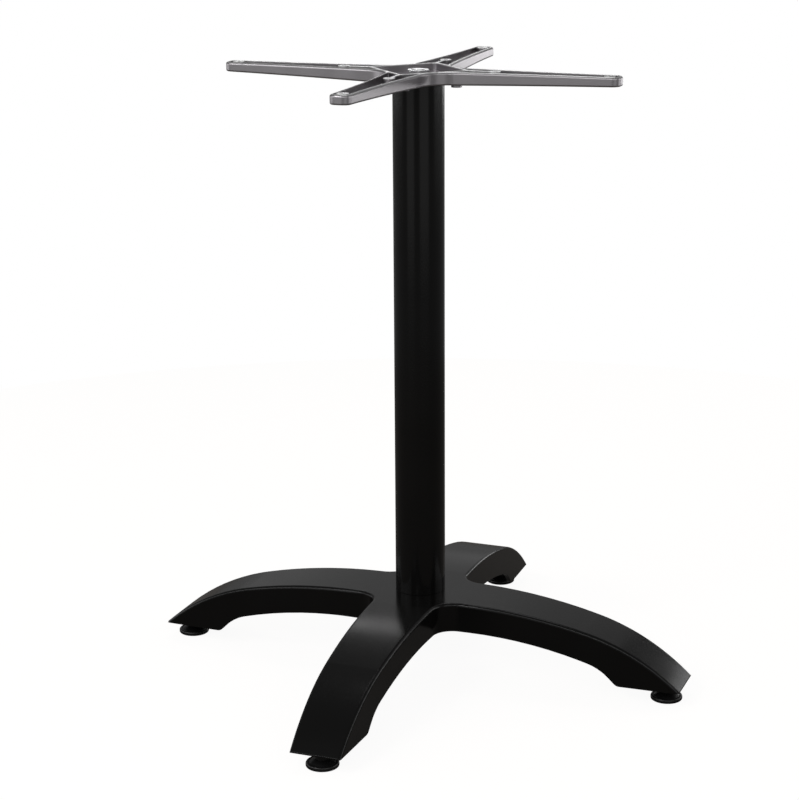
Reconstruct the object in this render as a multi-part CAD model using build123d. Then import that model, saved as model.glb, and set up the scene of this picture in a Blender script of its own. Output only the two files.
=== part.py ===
from build123d import *
import math
import os

# Table base: a cast four-leg foot, a round column, a cast spider that carries the table top,
# a rod that ties them together, and a levelling glide under each toe.
# Millimetres, +Z up. The origin is on the floor, under the middle of the column.
# The front leg points along -Y, the right leg along +X.

# Heights
total_height = 730.0
hub_top = 100.0
foot_height = 20.0

# Column
column_diameter = 60.0
column_wall = 2.0
spigot_height = 10.0
spigot_clearance = 0.3

# Legs, seen from above
leg_reach = 332.0
leg_root_half_width = 40.0
toe_half_width = 30.5
inner_corner_radius = 25.0

# Legs, seen from the side
knee_to_toe = 114.0
knee_drop = 18.0
toe_lip = 1.5
hub_depth = 35.0
arch_flat_radius = 75.0
foot_length = 75.0
heel_rise = 19.7
heel_run = 20.3
heel_blend_radius = 60.0
heel_corner_radius = 9.5
top_edge_radius = 3.6

# Hollow under the legs
leg_wall = 5.0
leg_skin = 5.0
rib_thickness = 4.0
rib_recess = 8.0
hub_boss_diameter = 46.0
hub_plate = 20.0
glide_boss_diameter = 24.0

# Levelling glides
glide_inset = 22.0
pad_diameter = 37.5
pad_rim_height = 5.5
pad_rim_width = 3.0
pad_groove = 0.8
pad_dome_height = 9.5
pad_base_rounding = 1.6
pad_rim_rounding = 2.4
neck_diameter = 17.0
stem_diameter = 8.0
stem_in_leg = 13.0
stem_in_pad = 9.0
stem_clearance = 0.05
stem_end_room = 1.0
stem_chamfer = 1.0

# Spider, seen from above
spider_reach = 240.0
arm_tip_half_width = 12.0
arm_waist_from_tip = 90.0
arm_waist_half_width = 14.5
arm_root_half_width = 25.5
arm_tip_rounding = 9.0
arm_corner_radius = 32.0
spider_wall = 3.0
hub_square_corner = 62.0
recess_corner_radius = 4.0
pocket_corner_radius = 1.5

# Spider, seen from the side
hub_floor = 6.0
arm_tip_depth = 11.0
arm_web = 5.5
spider_edge_radius = 2.0
spider_rim_radius = 2.8
stub_diameter = 12.5
stub_height = 4.5
stub_radius = 46.4

# Screw bosses for the table top
screw_boss_diameter = 13.5
screw_hole_diameter = 5.5
inner_screw_radius = 92.0
outer_screw_inset = 14.0

# Tie rod, washers and nuts
rod_diameter = 16.0
rod_hole_clearance = 0.4
rod_thread_clearance = 0.05
rod_end_below_nut = 4.0
rod_end_above_nut = 0.5
table_room_above_rod = 0.5
rod_chamfer = 0.8
washer_diameter = 30.0
washer_thickness = 2.0
washer_chamfer = 0.3
nut_across_flats = 24.0
nut_height = 6.0
nut_chamfer = 1.6

# Two points nearer than this count as one
same_point = 0.03

# Places that follow from the sizes above
hub_recess_depth = washer_thickness + nut_height + rod_end_above_nut + table_room_above_rod
spider_depth = hub_recess_depth + hub_floor
spider_under = total_height - spider_depth
column_bore = column_diameter - 2 * column_wall
spigot_diameter = column_bore - 2 * spigot_clearance
rod_hole_diameter = rod_diameter + 2 * rod_hole_clearance
leg_arch_start = leg_root_half_width + inner_corner_radius
arch_under = hub_top - hub_depth
knee_radius = leg_reach - knee_to_toe
heel_radius = leg_reach - foot_length
glide_radius = leg_reach - glide_inset
hub_plate_under = hub_top - hub_plate
lower_nut_top = hub_plate_under - washer_thickness
lower_nut_under = lower_nut_top - nut_height
hub_recess_floor = total_height - hub_recess_depth
upper_nut_under = hub_recess_floor + washer_thickness
rod_bottom = lower_nut_under - rod_end_below_nut
rod_top = upper_nut_under + nut_height + rod_end_above_nut
outer_screw_radius = spider_reach - outer_screw_inset
arm_slope_start = arm_root_half_width + arm_corner_radius

# The four directions of the legs and arms, as turns about the column
sides = {"right": 0, "back": 90, "left": 180, "front": 270}


def turned(shape, degrees):
    """The shape turned about the column."""
    return Rot(0, 0, degrees) * shape


def post(diameter, bottom, top):
    """Upright cylinder on the column's axis, from one height to another."""
    upright = (Align.CENTER, Align.CENTER, Align.MIN)
    return Pos(0, 0, bottom) * Cylinder(diameter / 2, top - bottom, align=upright)


def at_each_side(shape, radius):
    """Four copies of a shape that stands on the column's axis, moved out to a radius."""
    return [turned(Pos(radius, 0, 0) * shape, turn) for turn in sides.values()]


def crossed(half_profile, half_width):
    """Bars along X and Y from the right half of their side view, drawn in X and Z."""
    profile = half_profile + mirror(half_profile, about=Plane.YZ)
    bar = extrude(Plane.XZ * profile, half_width, both=True)
    return bar + turned(bar, 90)


def rounded_at(face, corner, radius):
    """The flat face with its corner nearest to a point rounded."""
    return fillet(face.vertices().sort_by_distance(Vertex(*corner))[0], radius)


def below_leg_top(drop):
    """Half side view of all that lies under the legs' top line, with that line lowered by drop."""
    flat = Line((0, hub_top - drop), (leg_arch_start, hub_top - drop))
    crown = TangentArc(flat @ 1, (knee_radius, hub_top - knee_drop - drop), tangent=flat % 1)
    shin = TangentArc(crown @ 1, (leg_reach, foot_height + toe_lip - drop), tangent=crown % 1)
    rest = Polyline(shin @ 1, (leg_reach, 0), (0, 0), flat @ 0)
    return make_face([flat, crown, shin, rest])


def below_leg_arch():
    """Half side view of the open space under the legs, down past the floor."""
    past = leg_reach + foot_length
    flat = Line((0, arch_under), (arch_flat_radius, arch_under))
    heel_top = (heel_radius - heel_run, foot_height + heel_rise)
    arch = TangentArc(flat @ 1, heel_top, tangent=flat % 1)
    heel_foot = (heel_radius, foot_height)
    ground = (past, foot_height)
    heel = Polyline(heel_top, heel_foot, ground)
    rest = Polyline(ground, (past, -foot_height), (0, -foot_height), flat @ 0)
    face = make_face([flat, arch, heel, rest])
    face = rounded_at(face, heel_foot, heel_corner_radius)
    return rounded_at(face, heel_top, heel_blend_radius)


def leg_plan():
    """The legs seen from above: a cross with tapered arms and rounded inner corners."""
    corner = leg_root_half_width
    points = []
    for turn in sides.values():
        leg = [(corner, -corner), (leg_reach, -toe_half_width), (leg_reach, toe_half_width)]
        points += [Vector(*point).rotate(Axis.Z, turn) for point in leg]
    plan = Polygon(*points, align=None)
    inner_corners = plan.vertices().group_by(lambda vertex: vertex.center().length)[0]
    return fillet(inner_corners, inner_corner_radius)


def long_top_edges(body):
    """The edges along both sides of the legs' tops, without those that run across a leg."""
    toe_top = foot_height + toe_lip
    along = []
    for edge in body.edges():
        middle = edge.position_at(0.5)
        across = min(abs(middle.X), abs(middle.Y)) < toe_half_width / 2
        if middle.Z > toe_top and not across:
            along.append(edge)
    return along


def base_casting():
    """Four arched legs and their hub in one piece, hollow from below."""
    plan = leg_plan()
    block = extrude(plan, hub_top) & crossed(below_leg_top(0), leg_arch_start)
    block = fillet(long_top_edges(block), top_edge_radius)
    legs = block - crossed(below_leg_arch(), leg_arch_start)

    hollow = extrude(offset(plan, -leg_wall), hub_top) & crossed(below_leg_top(leg_skin), leg_arch_start)
    hollow &= post(2 * glide_radius, 0, hub_top)
    hollow -= post(hub_boss_diameter, hub_plate_under, hub_top)
    rib_under = arch_under + rib_recess
    rib = Pos(0, 0, rib_under + hub_depth / 2) * Box(2 * leg_reach, rib_thickness, hub_depth)
    rib -= post(hub_boss_diameter, 0, hub_plate_under)
    hollow -= [rib, turned(rib, 90)]
    hollow -= at_each_side(post(glide_boss_diameter, 0, hub_top), glide_radius)

    casting = legs - hollow
    casting += post(spigot_diameter, hub_top, hub_top + spigot_height)
    casting -= post(rod_hole_diameter, 0, total_height)
    stem_hole = post(stem_diameter + 2 * stem_clearance, 0, foot_height + stem_in_leg + stem_end_room)
    return casting - at_each_side(stem_hole, glide_radius)


def column_tube():
    """Round tube that stands on the hub and carries the spider."""
    tube = post(column_diameter, hub_top, spider_under)
    return tube - post(column_bore, hub_top, spider_under)


def spider_plan():
    """The spider seen from above: four tapered arms with rounded tips and inner corners."""
    root = arm_root_half_width
    waist = spider_reach - arm_waist_from_tip
    outline = []
    for turn in sides.values():
        tip = Line((spider_reach, -arm_tip_half_width), (spider_reach, arm_tip_half_width))
        near = ThreePointArc((root, -root), (waist, -arm_waist_half_width), tip @ 0)
        far = ThreePointArc(tip @ 1, (waist, arm_waist_half_width), (root, root))
        outline += [turned(edge, turn) for edge in (near, tip, far)]
    plan = make_face(outline)
    inner_corners = plan.vertices().group_by(lambda vertex: vertex.center().length)[0]
    plan = fillet(inner_corners, arm_corner_radius)
    tip_corners = plan.vertices().group_by(lambda vertex: vertex.center().length)[-1]
    return fillet(tip_corners, arm_tip_rounding)


def above_arm_underside(lift):
    """Half side view of the arms, with their sloping underside lifted."""
    return make_face(
        Polyline(
            (0, spider_under + lift),
            (arm_slope_start, spider_under + lift),
            (spider_reach, total_height - arm_tip_depth + lift),
            (spider_reach, total_height),
            (0, total_height),
            (0, spider_under + lift),
        )
    )


def lower_outer_edges(body):
    """The edges round the spider's underside, without those that run across an arm."""
    low = []
    for edge in body.edges():
        middle = edge.position_at(0.5)
        on_arm_axis = min(abs(middle.X), abs(middle.Y)) < spider_wall
        at_tip = max(abs(middle.X), abs(middle.Y)) > outer_screw_radius
        if middle.Z < total_height - arm_tip_depth / 2 and (at_tip or not on_arm_axis):
            low.append(edge)
    return low


def corners_at_hub(floor_plan):
    """The corners of the arms' pockets where an arm's wall meets the wall round the hub's recess."""
    corners = []
    for vertex in floor_plan.vertices():
        along, across = sorted((abs(vertex.X), abs(vertex.Y)), reverse=True)
        at_square = math.isclose(along + across, hub_square_corner, abs_tol=same_point)
        if at_square and across > spider_wall:
            corners.append(vertex)
    return corners


def top_spider():
    """Cast four-arm spider with open pockets, a square hub recess and screw bosses."""
    plan = spider_plan()
    slab = Pos(0, 0, spider_under) * extrude(plan, spider_depth)
    spider = slab & crossed(above_arm_underside(0), arm_slope_start)
    spider = fillet(lower_outer_edges(spider), spider_edge_radius)
    spider = fillet(spider.edges().group_by(Axis.Z)[-1], spider_rim_radius)

    square = Rot(0, 0, 45) * Rectangle(*[hub_square_corner * math.sqrt(2)] * 2)
    screw_boss = Circle(screw_boss_diameter / 2)
    rib = Rectangle(2 * inner_screw_radius, spider_wall)
    floor_plan = offset(plan, -spider_wall) - square
    floor_plan -= [rib, turned(rib, 90)]
    floor_plan -= at_each_side(screw_boss, inner_screw_radius)
    floor_plan -= at_each_side(screw_boss, outer_screw_radius)
    floor_plan = fillet(corners_at_hub(floor_plan), pocket_corner_radius)
    pockets = Pos(0, 0, spider_under) * extrude(floor_plan, spider_depth)
    spider -= pockets & crossed(above_arm_underside(arm_web), arm_slope_start)
    recess_plan = offset(square, -spider_wall)
    recess_plan = fillet(recess_plan.vertices(), recess_corner_radius)
    spider -= Pos(0, 0, hub_recess_floor) * extrude(recess_plan, hub_recess_depth)

    spider += post(spigot_diameter, spider_under - spigot_height, spider_under)
    spider += at_each_side(post(stub_diameter, spider_under - stub_height, spider_under), stub_radius)
    screw_hole = post(screw_hole_diameter, hub_top, total_height)
    spider -= at_each_side(screw_hole, inner_screw_radius)
    spider -= at_each_side(screw_hole, outer_screw_radius)
    return spider - post(rod_hole_diameter, hub_top, total_height)


def tie_rod():
    """Threaded rod, drawn at its outer diameter, through base, column and spider."""
    rod = post(rod_diameter, rod_bottom, rod_top)
    return chamfer(rod.edges(), rod_chamfer)


def washer(bottom):
    """Plain washer with its underside at a height."""
    disc = post(washer_diameter, bottom, bottom + washer_thickness)
    disc = chamfer(disc.edges(), washer_chamfer)
    return disc - post(rod_hole_diameter, bottom, bottom + washer_thickness)


def nut(bottom):
    """Hexagon nut with chamfered corners and its underside at a height."""
    across_corners = nut_across_flats * 2 / math.sqrt(3)
    blank = post(across_corners, bottom, bottom + nut_height)
    blank = chamfer(blank.edges().filter_by(GeomType.CIRCLE), nut_chamfer)
    hexagon = RegularPolygon(nut_across_flats / 2, 6, major_radius=False)
    body = blank & Pos(0, 0, bottom) * extrude(hexagon, nut_height)
    return body - post(rod_diameter + 2 * rod_thread_clearance, bottom, bottom + nut_height)


def glide_pad():
    """Round foot with a raised rim, a domed top and a neck, drawn on the column's axis."""
    outer = pad_diameter / 2
    inner = outer - pad_rim_width
    neck = neck_diameter / 2
    outline = Polyline(
        (0, 0),
        (outer, 0),
        (outer, pad_rim_height),
        (inner, pad_rim_height),
        (inner, pad_rim_height - pad_groove),
        (neck, pad_dome_height),
        (neck, foot_height),
        (0, foot_height),
        close=True,
    )
    section = rounded_at(make_face(outline), (outer, 0), pad_base_rounding)
    section = rounded_at(section, (outer, pad_rim_height), pad_rim_rounding)
    pad = revolve(Plane.XZ * section, Axis.Z)
    return pad - post(stem_diameter + 2 * stem_clearance, foot_height - stem_in_pad, foot_height)


def glide_stem():
    """Threaded stud of a glide, drawn at its outer diameter on the column's axis."""
    stem = post(stem_diameter, foot_height - stem_in_pad, foot_height + stem_in_leg)
    return chamfer(stem.edges().sort_by(Axis.Z)[-1], stem_chamfer)


def write(name, shape):
    """Saves one piece under its own name."""
    export_step(shape, os.path.join("parts", name + ".step"))


os.makedirs("parts", exist_ok=True)
write("base_casting", base_casting())
write("column_tube", column_tube())
write("top_spider", top_spider())
write("tie_rod", tie_rod())
write("upper_washer", washer(hub_recess_floor))
write("upper_nut", nut(upper_nut_under))
write("lower_washer", washer(lower_nut_top))
write("lower_nut", nut(lower_nut_under))
for side, turn in sides.items():
    place = Rot(0, 0, turn) * Pos(glide_radius, 0, 0)
    write("glide_pad_" + side, place * glide_pad())
    write("glide_stem_" + side, place * glide_stem())
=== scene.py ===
# %% [markdown]
# # A four-legged table base
# A cast aluminium base with four arched legs carries a steel column, and a bare cast spider on
# top takes the table top's screws. One long rod inside the column pulls the three together, and
# each toe stands on a plastic glide that screws in and out. The solids come from the packed
# frame at their real size. This lesson sets up a camera and a studio, gives the solids their
# finishes and cuts the threads.

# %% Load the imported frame
import math

import bmesh
import bpy
from mathutils import Matrix, Vector


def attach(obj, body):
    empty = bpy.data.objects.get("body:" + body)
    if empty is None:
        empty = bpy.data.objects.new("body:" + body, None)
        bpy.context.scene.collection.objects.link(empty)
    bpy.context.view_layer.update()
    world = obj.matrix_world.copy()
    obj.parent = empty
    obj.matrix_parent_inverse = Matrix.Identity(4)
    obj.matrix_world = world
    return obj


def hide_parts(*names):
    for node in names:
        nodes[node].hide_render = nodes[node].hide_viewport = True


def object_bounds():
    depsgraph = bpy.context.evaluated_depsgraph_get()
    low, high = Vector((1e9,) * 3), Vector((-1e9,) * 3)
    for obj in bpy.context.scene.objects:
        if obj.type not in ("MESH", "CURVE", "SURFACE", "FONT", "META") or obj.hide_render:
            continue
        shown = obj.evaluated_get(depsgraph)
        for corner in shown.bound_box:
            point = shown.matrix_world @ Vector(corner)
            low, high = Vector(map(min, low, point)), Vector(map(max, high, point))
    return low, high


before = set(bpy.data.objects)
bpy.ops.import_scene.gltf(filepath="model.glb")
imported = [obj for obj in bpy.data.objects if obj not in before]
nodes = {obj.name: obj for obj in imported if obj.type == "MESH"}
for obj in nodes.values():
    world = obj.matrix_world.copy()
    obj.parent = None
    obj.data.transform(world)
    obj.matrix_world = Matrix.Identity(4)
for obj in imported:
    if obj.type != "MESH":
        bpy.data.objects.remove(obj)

cad_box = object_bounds()
print("nodes:", len(nodes), "box:", [[round(value, 4) for value in corner] for corner in cad_box])

# %% [markdown]
# ## The camera
# The photograph looks a little down on the base, with the front leg turned to the left. A camera
# could be aimed by eye at an empty, but then its roll and its exact distance are lost. Here it
# is placed by the few numbers of a real camera: how far it stands from the column, how high, and
# how it is turned and tipped. The focal length is in pixels of the 799 by 800 image, and the
# lens in millimetres follows from it.

# %% Place the camera
image_height_px = 800
focal_length_px = 2150
sensor_width_mm = 36.0
camera_distance = 2.4656
camera_height = 1.0268
camera_turn = math.radians(20.562)
camera_yaw = math.radians(-0.559)
camera_pitch = math.radians(15.629)
camera_roll = math.radians(-0.391)

heading = camera_yaw - camera_turn
look = Vector((math.sin(heading) * math.cos(camera_pitch),
               math.cos(heading) * math.cos(camera_pitch),
               -math.sin(camera_pitch)))
level_right = Vector((math.cos(heading), -math.sin(heading), 0.0))
level_up = level_right.cross(look)
image_right = math.cos(camera_roll) * level_right + math.sin(camera_roll) * level_up
image_up = math.cos(camera_roll) * level_up - math.sin(camera_roll) * level_right
stand_point = Vector((camera_distance * math.sin(camera_turn),
                      -camera_distance * math.cos(camera_turn),
                      camera_height))

camera_data = bpy.data.cameras.new("camera")
camera_data.sensor_width = sensor_width_mm
camera_data.lens = focal_length_px * sensor_width_mm / image_height_px
camera = bpy.data.objects.new("camera", camera_data)
bpy.context.scene.collection.objects.link(camera)
axes = Matrix((image_right, image_up, -look)).transposed()
camera.matrix_world = Matrix.Translation(stand_point) @ axes.to_4x4()
bpy.context.scene.camera = camera
print("lens:", round(camera_data.lens, 2), "mm, camera at", [round(value, 3) for value in stand_point])

# %% [markdown]
# ## The room
# The photograph has a white background, but the black coat mirrors a dim room. A white world
# would wash the coat out, and a dim one would give a grey picture. So the world has two levels:
# it is white where the camera looks straight at it, and dim where it lights the part. Metal and
# plastic mirror a small share of the white as well.

# %% Light the room
scene = bpy.context.scene
scene.view_settings.view_transform = "Standard"

room_level = 0.14
white_level = 1.0
mirrored_share = 0.03


def add_node(tree, kind, **settings):
    """Add a node of this kind and set the named properties on it."""
    made = tree.nodes.new(kind)
    for name, value in settings.items():
        setattr(made, name, value)
    return made


def whiteness(tree):
    """One for the camera's own rays, a small share for rays by way of a mirror or glass."""
    path = add_node(tree, "ShaderNodeLightPath")
    bounced = add_node(tree, "ShaderNodeMath", operation="MAXIMUM")
    tree.links.new(path.outputs["Is Glossy Ray"], bounced.inputs[0])
    tree.links.new(path.outputs["Is Transmission Ray"], bounced.inputs[1])
    share = add_node(tree, "ShaderNodeMath", operation="MULTIPLY_ADD")
    share.inputs[1].default_value = mirrored_share
    tree.links.new(bounced.outputs[0], share.inputs[0])
    tree.links.new(path.outputs["Is Camera Ray"], share.inputs[2])
    return share.outputs[0]


world = bpy.data.worlds.new("studio")
world.use_nodes = True
scene.world = world
backdrop = world.node_tree.nodes["Background"]
backdrop.inputs["Color"].default_value = (1.0, 1.0, 1.0, 1.0)
two_levels = add_node(world.node_tree, "ShaderNodeMapRange")
two_levels.inputs["To Min"].default_value = room_level
two_levels.inputs["To Max"].default_value = white_level
world.node_tree.links.new(whiteness(world.node_tree), two_levels.inputs["Value"])
world.node_tree.links.new(two_levels.outputs["Result"], backdrop.inputs["Strength"])
print("room:", room_level, "to the part,", white_level, "to the camera")

# %% [markdown]
# ## The lamps
# On a dark gloss most of what shows is a mirrored lamp, so each flat lamp stands where one part
# of the base mirrors it. The boxes and strips at the sides draw the light edges of the column,
# and the two low panels in front draw the soft bands down its middle. The banks in front light
# the legs' sides, and the banks behind light their tops. The edge light picks out the rounded
# edges, the rim light the spider's rims, and the top light the nut. A lamp could be moved by
# hand until it looks right, but a place in angles is easier to read and to change.

# %% Stand the lamps
studio_middle = Vector((0.0, 0.0, 0.35))

# Distance in metres, then in degrees the bearing to the right of the camera's view, the
# elevation, the width and the height, and last the level, where 1 is white to look into
softboxes = {
    "right_box": (3.0, 84, 8, 46, 16, 1.4),
    "right_high_box": (3.0, 82, 27.5, 50, 15, 0.52),
    "back_right_strip": (3.0, 41, 4, 24, 10, 2.1),
    "left_low_strip": (3.0, 285, 5, 60, 10, 1.23),
    "left_box": (3.0, 255, 15, 60, 10, 1.23),
    "front_right_bank": (3.0, 165, 27.5, 60, 15, 1.57),
    "front_left_bank": (3.0, 225, 27.5, 60, 15, 1.57),
    "front_right_panel": (3.0, 156, -2, 40, 12, 0.38),
    "front_left_panel": (3.0, 217, -2, 32, 12, 0.38),
    "back_bank": (3.0, 6, 13, 50, 24, 0.18),
    "back_high_bank": (3.0, 0, 36, 46, 16, 0.06),
    "edge_light": (3.0, 228, 40, 16, 8, 9.0),
    "rim_light": (1.38, 0, 25.3, 24, 5.0, 1.9),
    "top_light": (3.0, 0, 70, 22, 14, 2.0),
}


def aim(bearing, elevation):
    """The direction of a bearing and an elevation, in degrees."""
    turn = heading + math.radians(bearing)
    rise = math.radians(elevation)
    return Vector((math.sin(turn) * math.cos(rise), math.cos(turn) * math.cos(rise), math.sin(rise)))


def span(distance, angle):
    """The length that fills an angle, in degrees, at a distance."""
    return 2 * distance * math.tan(math.radians(angle / 2))


def stand_softbox(name, distance, bearing, elevation, width, height, level):
    """A flat soft lamp round the studio's middle, facing it."""
    away = aim(bearing, elevation)
    data = bpy.data.lights.new(name, "AREA")
    data.shape = "RECTANGLE"
    data.size = span(distance, width)
    data.size_y = span(distance, height)
    data.energy = math.pi * data.size * data.size_y * level
    lamp = bpy.data.objects.new(name, data)
    lamp.location = studio_middle + distance * away
    lamp.rotation_euler = (-away).to_track_quat("-Z", "Y").to_euler()
    lamp.visible_camera = False
    scene.collection.objects.link(lamp)


for name, placing in softboxes.items():
    stand_softbox(name, *placing)

# %% [markdown]
# ## The floor
# A pale floor carries the base and catches its soft shadow. Painted white and lit plainly it
# would come out a light grey, so it glows a little as well, by the same rule as the room: fully
# to the camera, and by a share to mirrors and glass. Seen from below it lets the view through,
# so that the underside can be studied.

# %% Lay the floor
floor_radius = 1.5
floor_sides = 96
floor_drop = 0.0002
floor_tone = (0.17, 0.155, 0.14, 1.0)
floor_glow = 0.93


def floor_paper():
    """A paper that is white where it is lit, and a pale grey in the shadow."""
    material = bpy.data.materials.new("floor_paper")
    material.use_nodes = True
    tree = material.node_tree
    tree.nodes.clear()
    paper = add_node(tree, "ShaderNodeBsdfDiffuse")
    paper.inputs["Color"].default_value = floor_tone
    strength = add_node(tree, "ShaderNodeMath", operation="MULTIPLY")
    strength.inputs[1].default_value = floor_glow
    tree.links.new(whiteness(tree), strength.inputs[0])
    glow = add_node(tree, "ShaderNodeEmission")
    tree.links.new(strength.outputs[0], glow.inputs["Strength"])
    top_side = add_node(tree, "ShaderNodeAddShader")
    tree.links.new(paper.outputs[0], top_side.inputs[0])
    tree.links.new(glow.outputs[0], top_side.inputs[1])
    clear = add_node(tree, "ShaderNodeBsdfTransparent")
    geometry = add_node(tree, "ShaderNodeNewGeometry")
    both_sides = add_node(tree, "ShaderNodeMixShader")
    tree.links.new(geometry.outputs["Backfacing"], both_sides.inputs["Fac"])
    tree.links.new(top_side.outputs[0], both_sides.inputs[1])
    tree.links.new(clear.outputs[0], both_sides.inputs[2])
    output = add_node(tree, "ShaderNodeOutputMaterial")
    tree.links.new(both_sides.outputs[0], output.inputs["Surface"])
    material.cycles.emission_sampling = "NONE"
    return material


def piece_from(bm, name, material):
    """Turn a finished bmesh into an object at the origin, with one material."""
    mesh = bpy.data.meshes.new(name)
    bm.to_mesh(mesh)
    bm.free()
    mesh.materials.append(material)
    made = bpy.data.objects.new(name, mesh)
    scene.collection.objects.link(made)
    return made


bm = bmesh.new()
bmesh.ops.create_circle(bm, cap_ends=True, segments=floor_sides, radius=floor_radius,
                        matrix=Matrix.Translation((0.0, 0.0, -floor_drop)))
floor = piece_from(bm, "floor", floor_paper())
print("floor:", [round(value, 2) for value in floor.dimensions])

# %% [markdown]
# ## Steps that every finish shares
# A picture of a surface could be wrapped round the castings, but it would stretch on the arches.
# Noise in the solid's own space has no seams, so each finish here is mixed from noise: one step
# makes it, others spread it over a range of gloss, blend two tones by it or raise bumps with it.
# Real edges are never knife sharp, so one more step shades them as if they were rounded.

# %% Write the shared steps
noise_low = 0.3
noise_high = 0.7
edge_samples = 6


def grain(tree, per_metre, detail=2.0, along_axes=None):
    """Noise in the piece's own space, with so many bumps to the metre, or so many along each axis."""
    place = add_node(tree, "ShaderNodeTexCoord")
    noise = add_node(tree, "ShaderNodeTexNoise")
    noise.inputs["Scale"].default_value = per_metre
    noise.inputs["Detail"].default_value = detail
    source = place.outputs["Object"]
    if along_axes:
        scaled = add_node(tree, "ShaderNodeMapping")
        scaled.inputs["Scale"].default_value = along_axes
        tree.links.new(source, scaled.inputs["Vector"])
        source = scaled.outputs["Vector"]
    tree.links.new(source, noise.inputs["Vector"])
    return noise.outputs[0]


def ranged(tree, value, low, high):
    """Spread the middle of a noise over a range of values."""
    spread = add_node(tree, "ShaderNodeMapRange")
    spread.inputs["From Min"].default_value = noise_low
    spread.inputs["From Max"].default_value = noise_high
    spread.inputs["To Min"].default_value = low
    spread.inputs["To Max"].default_value = high
    tree.links.new(value, spread.inputs["Value"])
    return spread.outputs["Result"]


def mottled(tree, value, dark, light):
    """Blend two near tones by a noise."""
    tones = add_node(tree, "ShaderNodeMix", data_type="RGBA")
    tones.inputs["A"].default_value = dark
    tones.inputs["B"].default_value = light
    tree.links.new(value, tones.inputs["Factor"])
    return tones.outputs["Result"]


def bumps(tree, height, depth, below=None):
    """Raise a surface by a noise of this depth, in metres, on top of the bumps below it."""
    bump = add_node(tree, "ShaderNodeBump")
    bump.inputs["Distance"].default_value = depth
    tree.links.new(height, bump.inputs["Height"])
    if below:
        tree.links.new(below, bump.inputs["Normal"])
    return bump.outputs["Normal"]


def rounded_edges(tree, radius):
    """Shade sharp edges as if they were rounded by this radius, in metres."""
    rounding = add_node(tree, "ShaderNodeBevel", samples=edge_samples)
    rounding.inputs["Radius"].default_value = radius
    return rounding.outputs["Normal"]


def finish(name):
    """A new material with its tree and its one shader."""
    material = bpy.data.materials.new(name)
    material.use_nodes = True
    return material, material.node_tree, material.node_tree.nodes["Principled BSDF"]


shared_steps = (grain, ranged, mottled, bumps, rounded_edges, finish)
print("shared steps:", [step.__name__ for step in shared_steps])

# %% [markdown]
# ## Black powder coat
# The base casting and the column are sprayed with powder that melts into one skin in an oven.
# Up close the skin has a faint orange peel, a few millimetres from bump to bump, and its gloss
# is never quite even. One bump could stand for all of it, but then the skin looks like leather.
# So two sizes of noise shape the peel, and one slow noise varies the gloss and the tone.

# %% Mix the powder coat
coat_dark = (0.0026, 0.0025, 0.0024, 1.0)
coat_light = (0.0046, 0.0044, 0.0042, 1.0)
coat_roughness = (0.15, 0.20)
coat_specular = 0.30
coat_edge_radius = 0.0010
cloud_per_metre = 14.0
peel_per_metre = 420.0
peel_depth = 0.00004
grit_per_metre = 2600.0
grit_depth = 0.00001


def black_powder_coat():
    """Satin black skin with orange peel."""
    material, tree, skin = finish("black_powder_coat_finish")
    slow = grain(tree, cloud_per_metre)
    tree.links.new(mottled(tree, slow, coat_dark, coat_light), skin.inputs["Base Color"])
    tree.links.new(ranged(tree, slow, *coat_roughness), skin.inputs["Roughness"])
    edges = rounded_edges(tree, coat_edge_radius)
    peel = bumps(tree, grain(tree, peel_per_metre), peel_depth, edges)
    grit = bumps(tree, grain(tree, grit_per_metre), grit_depth, peel)
    tree.links.new(grit, skin.inputs["Normal"])
    skin.inputs["Specular IOR Level"].default_value = coat_specular
    return material


coat = black_powder_coat()
print("made", coat.name, "with", len(coat.node_tree.nodes), "nodes")

# %% [markdown]
# ## Bare cast aluminium
# The spider is a die casting that is only blasted: a soft grey, a little blotchy, with a fine
# even grain. Its top, which meets the table, is linished flat on a belt, so it is brighter and
# carries fine straight scratches. The bright tone runs on a little way down the rounded rims,
# where it is a painted highlight. Two materials would need the faces sorted by hand. One does
# both here, and the height in the piece says where the bright band is.

# %% Mix the cast aluminium
cast_dark = (0.385, 0.368, 0.384, 1.0)
cast_light = (0.455, 0.438, 0.454, 1.0)
cast_roughness = (0.30, 0.34)
cast_edge_radius = 0.0007
blotches_per_metre = 45.0
blast_per_metre = 900.0
blast_depth = 0.000004
# The linished tone, which on the upper rims is also a painted highlight
linished_highlight_dark = (0.88, 0.88, 0.88, 1.0)
linished_highlight_light = (0.96, 0.96, 0.96, 1.0)
linished_roughness = (0.26, 0.34)
scratches_per_metre = (30.0, 1500.0, 1500.0)
top_plane = cad_box[1][2]
# The bright band fades in between these depths, painting a highlight on the rims' upper rounding
cast_below_top = 0.0014
highlight_below_top = 0.0006


def linished_top_and_rim_highlight(tree):
    """One on the linished top plane and the upper rims' rounding, where it paints a highlight; zero
    below.
    """
    place = add_node(tree, "ShaderNodeTexCoord")
    axes_apart = add_node(tree, "ShaderNodeSeparateXYZ")
    tree.links.new(place.outputs["Object"], axes_apart.inputs[0])
    step = add_node(tree, "ShaderNodeMapRange")
    step.inputs["From Min"].default_value = top_plane - cast_below_top
    step.inputs["From Max"].default_value = top_plane - highlight_below_top
    tree.links.new(axes_apart.outputs["Z"], step.inputs["Value"])
    return step.outputs["Result"]


def blended(tree, factor, low, high, kind="FLOAT"):
    """Go from one link to another by a factor."""
    mix = add_node(tree, "ShaderNodeMix", data_type=kind)
    tree.links.new(factor, mix.inputs["Factor"])
    tree.links.new(low, mix.inputs["A"])
    tree.links.new(high, mix.inputs["B"])
    return mix.outputs["Result"]


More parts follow.
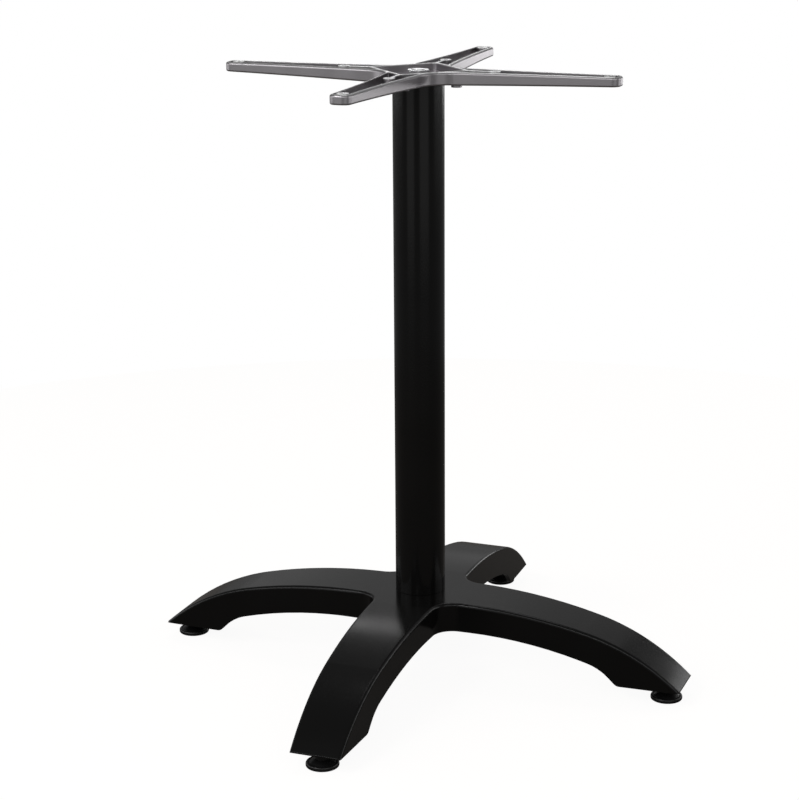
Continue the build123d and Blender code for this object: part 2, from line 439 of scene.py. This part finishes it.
def raw_cast_aluminium():
    """Blasted casting grey with a fine grain, and a bright linished top that paints a highlight on the
    rims.
    """
    material, tree, metal = finish("raw_cast_aluminium_finish")
    blotches = grain(tree, blotches_per_metre, detail=4.0)
    scratches = grain(tree, 1.0, detail=3.0, along_axes=scratches_per_metre)
    # Bright on the top plane and, as a painted highlight, down the upper rims
    top = linished_top_and_rim_highlight(tree)
    cast_tone = mottled(tree, blotches, cast_dark, cast_light)
    linished_highlight_tone = mottled(tree, scratches, linished_highlight_dark, linished_highlight_light)
    tree.links.new(blended(tree, top, cast_tone, linished_highlight_tone, "RGBA"), metal.inputs["Base Color"])
    cast_gloss = ranged(tree, blotches, *cast_roughness)
    linished_gloss = ranged(tree, scratches, *linished_roughness)
    tree.links.new(blended(tree, top, cast_gloss, linished_gloss), metal.inputs["Roughness"])
    edges = rounded_edges(tree, cast_edge_radius)
    pits = bumps(tree, grain(tree, blast_per_metre, detail=3.0), blast_depth, edges)
    tree.links.new(pits, metal.inputs["Normal"])
    metal.inputs["Metallic"].default_value = 1.0
    return material


cast_metal = raw_cast_aluminium()
print("made", cast_metal.name, "with", len(cast_metal.node_tree.nodes), "nodes")

# %% [markdown]
# ## Bright zinc and moulded plastic
# The rod, nuts, washers and glide stems are zinc plated: a bright, faintly cloudy metal. The
# glides are moulded in black plastic, rougher than the coat, with the slight unevenness of a
# worn mould. Both could be one flat colour, but a faint cloud keeps them from looking drawn.

# %% Mix the zinc and the plastic
zinc_dark = (0.84, 0.85, 0.87, 1.0)
zinc_light = (0.93, 0.93, 0.93, 1.0)
zinc_roughness = (0.18, 0.28)
zinc_edge_radius = 0.0004
zinc_cloud_per_metre = 160.0
zinc_grain_per_metre = 1200.0
zinc_grain_depth = 0.000004
plastic_dark = (0.008, 0.008, 0.008, 1.0)
plastic_light = (0.013, 0.013, 0.0135, 1.0)
plastic_roughness = (0.24, 0.32)
plastic_specular = 0.4
plastic_cloud_per_metre = 90.0
plastic_waves_per_metre = 700.0
plastic_wave_depth = 0.00003


def zinc_plate():
    """Bright plated steel with a faint cloud."""
    material, tree, metal = finish("zinc_plate_finish")
    cloud = grain(tree, zinc_cloud_per_metre, detail=3.0)
    tree.links.new(mottled(tree, cloud, zinc_dark, zinc_light), metal.inputs["Base Color"])
    tree.links.new(ranged(tree, cloud, *zinc_roughness), metal.inputs["Roughness"])
    edges = rounded_edges(tree, zinc_edge_radius)
    plating = bumps(tree, grain(tree, zinc_grain_per_metre), zinc_grain_depth, edges)
    tree.links.new(plating, metal.inputs["Normal"])
    metal.inputs["Metallic"].default_value = 1.0
    return material


def moulded_plastic():
    """Semi-gloss black plastic."""
    material, tree, plastic = finish("moulded_plastic_finish")
    cloud = grain(tree, plastic_cloud_per_metre)
    tree.links.new(mottled(tree, cloud, plastic_dark, plastic_light), plastic.inputs["Base Color"])
    tree.links.new(ranged(tree, cloud, *plastic_roughness), plastic.inputs["Roughness"])
    waves = bumps(tree, grain(tree, plastic_waves_per_metre), plastic_wave_depth)
    tree.links.new(waves, plastic.inputs["Normal"])
    plastic.inputs["Specular IOR Level"].default_value = plastic_specular
    return material


zinc = zinc_plate()
plastic = moulded_plastic()
print("made", zinc.name, "and", plastic.name)

# %% [markdown]
# ## Castings, column and glides
# The castings carry their large roundings in the solids, and the column and the glides have
# their true form already. They could be rebuilt with softer edges, but that would only copy a
# good shape less well. So all of them stay as they are and take their finishes, which shade the
# last sharp edges of the castings as if they were softened.

# %% Finish the solids
def coat_node(node_name, material):
    """Give a node of the frame a finish of this lesson."""
    for slot in nodes[node_name].material_slots:
        slot.material = material


sides = ("front", "right", "back", "left")
coat_node("base_casting", coat)
coat_node("column_tube", coat)
coat_node("top_spider", cast_metal)
for side in sides:
    coat_node("glide_pad_" + side, plastic)
for part in ("upper_washer", "upper_nut", "lower_washer", "lower_nut"):
    coat_node(part, zinc)
print("finished the castings, the column, four glides and the rod's nuts and washers")

# %% [markdown]
# ## One thread
# The rod and the glides' stems are rolled with metric threads, which the solids draw as plain
# bars. Bumps in the finish could suggest a thread, but the bar's outline would stay straight.
# So one side of the bar is drawn as a row of teeth and spun once round the axis, climbing by one
# pitch on the way: each tooth then runs into its neighbour, as the helix of a real thread does.
# A flat cut closes each end, and the ends taper like a rolled bolt's.

# %% Draw a thread
turn_steps = 36
same_point = 0.000001

# A metric thread's depth, and the places of its root and crest along one tooth, in pitches
thread_depth = 0.6134
root_end = 0.25
crest_start = 0.5625
crest_end = 0.6875

# The row of teeth starts below the bar and ends above it, because the spin lifts it by a pitch
teeth_below = 1.5
spare_teeth = 2


def tooth_row(bm, middle, radius, pitch, bottom, top):
    """The toothed side of a bar, in the plane through its axis, as joined edges."""
    root = radius - thread_depth * pitch
    row = []
    for tooth in range(math.ceil((top - bottom) / pitch) + spare_teeth):
        foot = bottom + (tooth - teeth_below) * pitch
        for reach, climb in ((root, 0.0), (root, root_end), (radius, crest_start), (radius, crest_end)):
            row.append(bm.verts.new((middle.x + reach, middle.y, foot + climb * pitch)))
    return row + [bm.edges.new(pair) for pair in zip(row, row[1:])]


def cut_end(bm, height, facing):
    """Cut the bar at a height, clear what lies past it and close the cut."""
    everything = bm.verts[:] + bm.edges[:] + bm.faces[:]
    cut = bmesh.ops.bisect_plane(bm, geom=everything, plane_co=(0.0, 0.0, height),
                                 plane_no=(0.0, 0.0, facing), clear_outer=True)
    rim = [item for item in cut["geom_cut"] if isinstance(item, bmesh.types.BMEdge)]
    bmesh.ops.contextual_create(bm, geom=rim)


def taper_ends(bm, middle, radius, bottom, top, taper):
    """Draw the thread's crests in towards both ends of the bar."""
    for vert in bm.verts:
        from_end = min(vert.co.z - bottom, top - vert.co.z)
        outward = Vector((vert.co.x - middle.x, vert.co.y - middle.y))
        limit = radius - max(taper - from_end, 0.0)
        if outward.length > limit:
            outward *= limit / outward.length
            vert.co.x, vert.co.y = middle.x + outward.x, middle.y + outward.y


def thread_mesh(middle, radius, pitch, bottom, top, taper):
    """A closed threaded bar round an upright axis, with tapered ends."""
    bm = bmesh.new()
    row = tooth_row(bm, middle, radius, pitch, bottom, top)
    bmesh.ops.spin(bm, geom=row, cent=(middle.x, middle.y, 0.0), axis=(0.0, 0.0, 1.0),
                   dvec=(0.0, 0.0, pitch / turn_steps), angle=math.tau, steps=turn_steps)
    bmesh.ops.remove_doubles(bm, verts=bm.verts, dist=same_point)
    cut_end(bm, bottom, -1.0)
    cut_end(bm, top, 1.0)
    taper_ends(bm, middle, radius, bottom, top, taper)
    bmesh.ops.recalc_face_normals(bm, faces=bm.faces)
    mesh = bpy.data.meshes.new("thread")
    bm.to_mesh(mesh)
    bm.free()
    return mesh


print("thread:", turn_steps, "steps to a turn,", thread_depth, "pitches deep")

# %% [markdown]
# ## The rod and the stems
# The tie rod is threaded only where its nuts sit, with a plain shank between, and a stem all the
# way. Each is measured on the solid whose place it takes, so it follows any change of size, and
# each rides on the body of that solid: the stems move with their glides.

# %% Cut the threads
rod_pitch = 0.002
stem_pitch = 0.00125
rod_thread_length = 0.045
sharp_angle = math.radians(28)

# The taper at a bar's ends and how far the rod's shank lies under the crests, in pitches
end_taper = 0.6
shank_step = 0.3


def box_of(node_name):
    """The lowest and highest corner of a node."""
    node = nodes[node_name]
    corners = [node.matrix_world @ Vector(corner) for corner in node.bound_box]
    return Vector(map(min, zip(*corners))), Vector(map(max, zip(*corners)))


def threaded_piece(node_name, piece_name, body, pitch, threaded_ends=None):
    """A bar with real threads in a node's place: all along, or at both ends only."""
    low, high = box_of(node_name)
    middle = (low + high) / 2
    radius = (high.x - low.x) / 2
    taper = end_taper * pitch
    lengths = [(low.z, high.z)]
    bm = bmesh.new()
    if threaded_ends:
        lengths = [(low.z, low.z + threaded_ends), (high.z - threaded_ends, high.z)]
        shank_length = high.z - low.z - 2 * threaded_ends + 2 * taper
        shank_radius = radius - shank_step * pitch
        bmesh.ops.create_cone(bm, cap_ends=True, segments=turn_steps, depth=shank_length,
                              radius1=shank_radius, radius2=shank_radius,
                              matrix=Matrix.Translation(middle))
    for bottom, top in lengths:
        mesh = thread_mesh(middle, radius, pitch, bottom, top, taper)
        bm.from_mesh(mesh)
        bpy.data.meshes.remove(mesh)
    for face in bm.faces:
        face.smooth = True
    for edge in bm.edges:
        edge.smooth = edge.calc_face_angle(math.pi) < sharp_angle
    made = piece_from(bm, piece_name, zinc)
    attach(made, body)
    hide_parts(node_name)
    return made


threads = [threaded_piece("tie_rod", "threaded_rod", "base", rod_pitch, rod_thread_length)]
for side in sides:
    stem = threaded_piece("glide_stem_" + side, "threaded_stem_" + side, "glide_" + side, stem_pitch)
    threads.append(stem)
print("threads:", {piece.name: len(piece.data.polygons) for piece in threads})
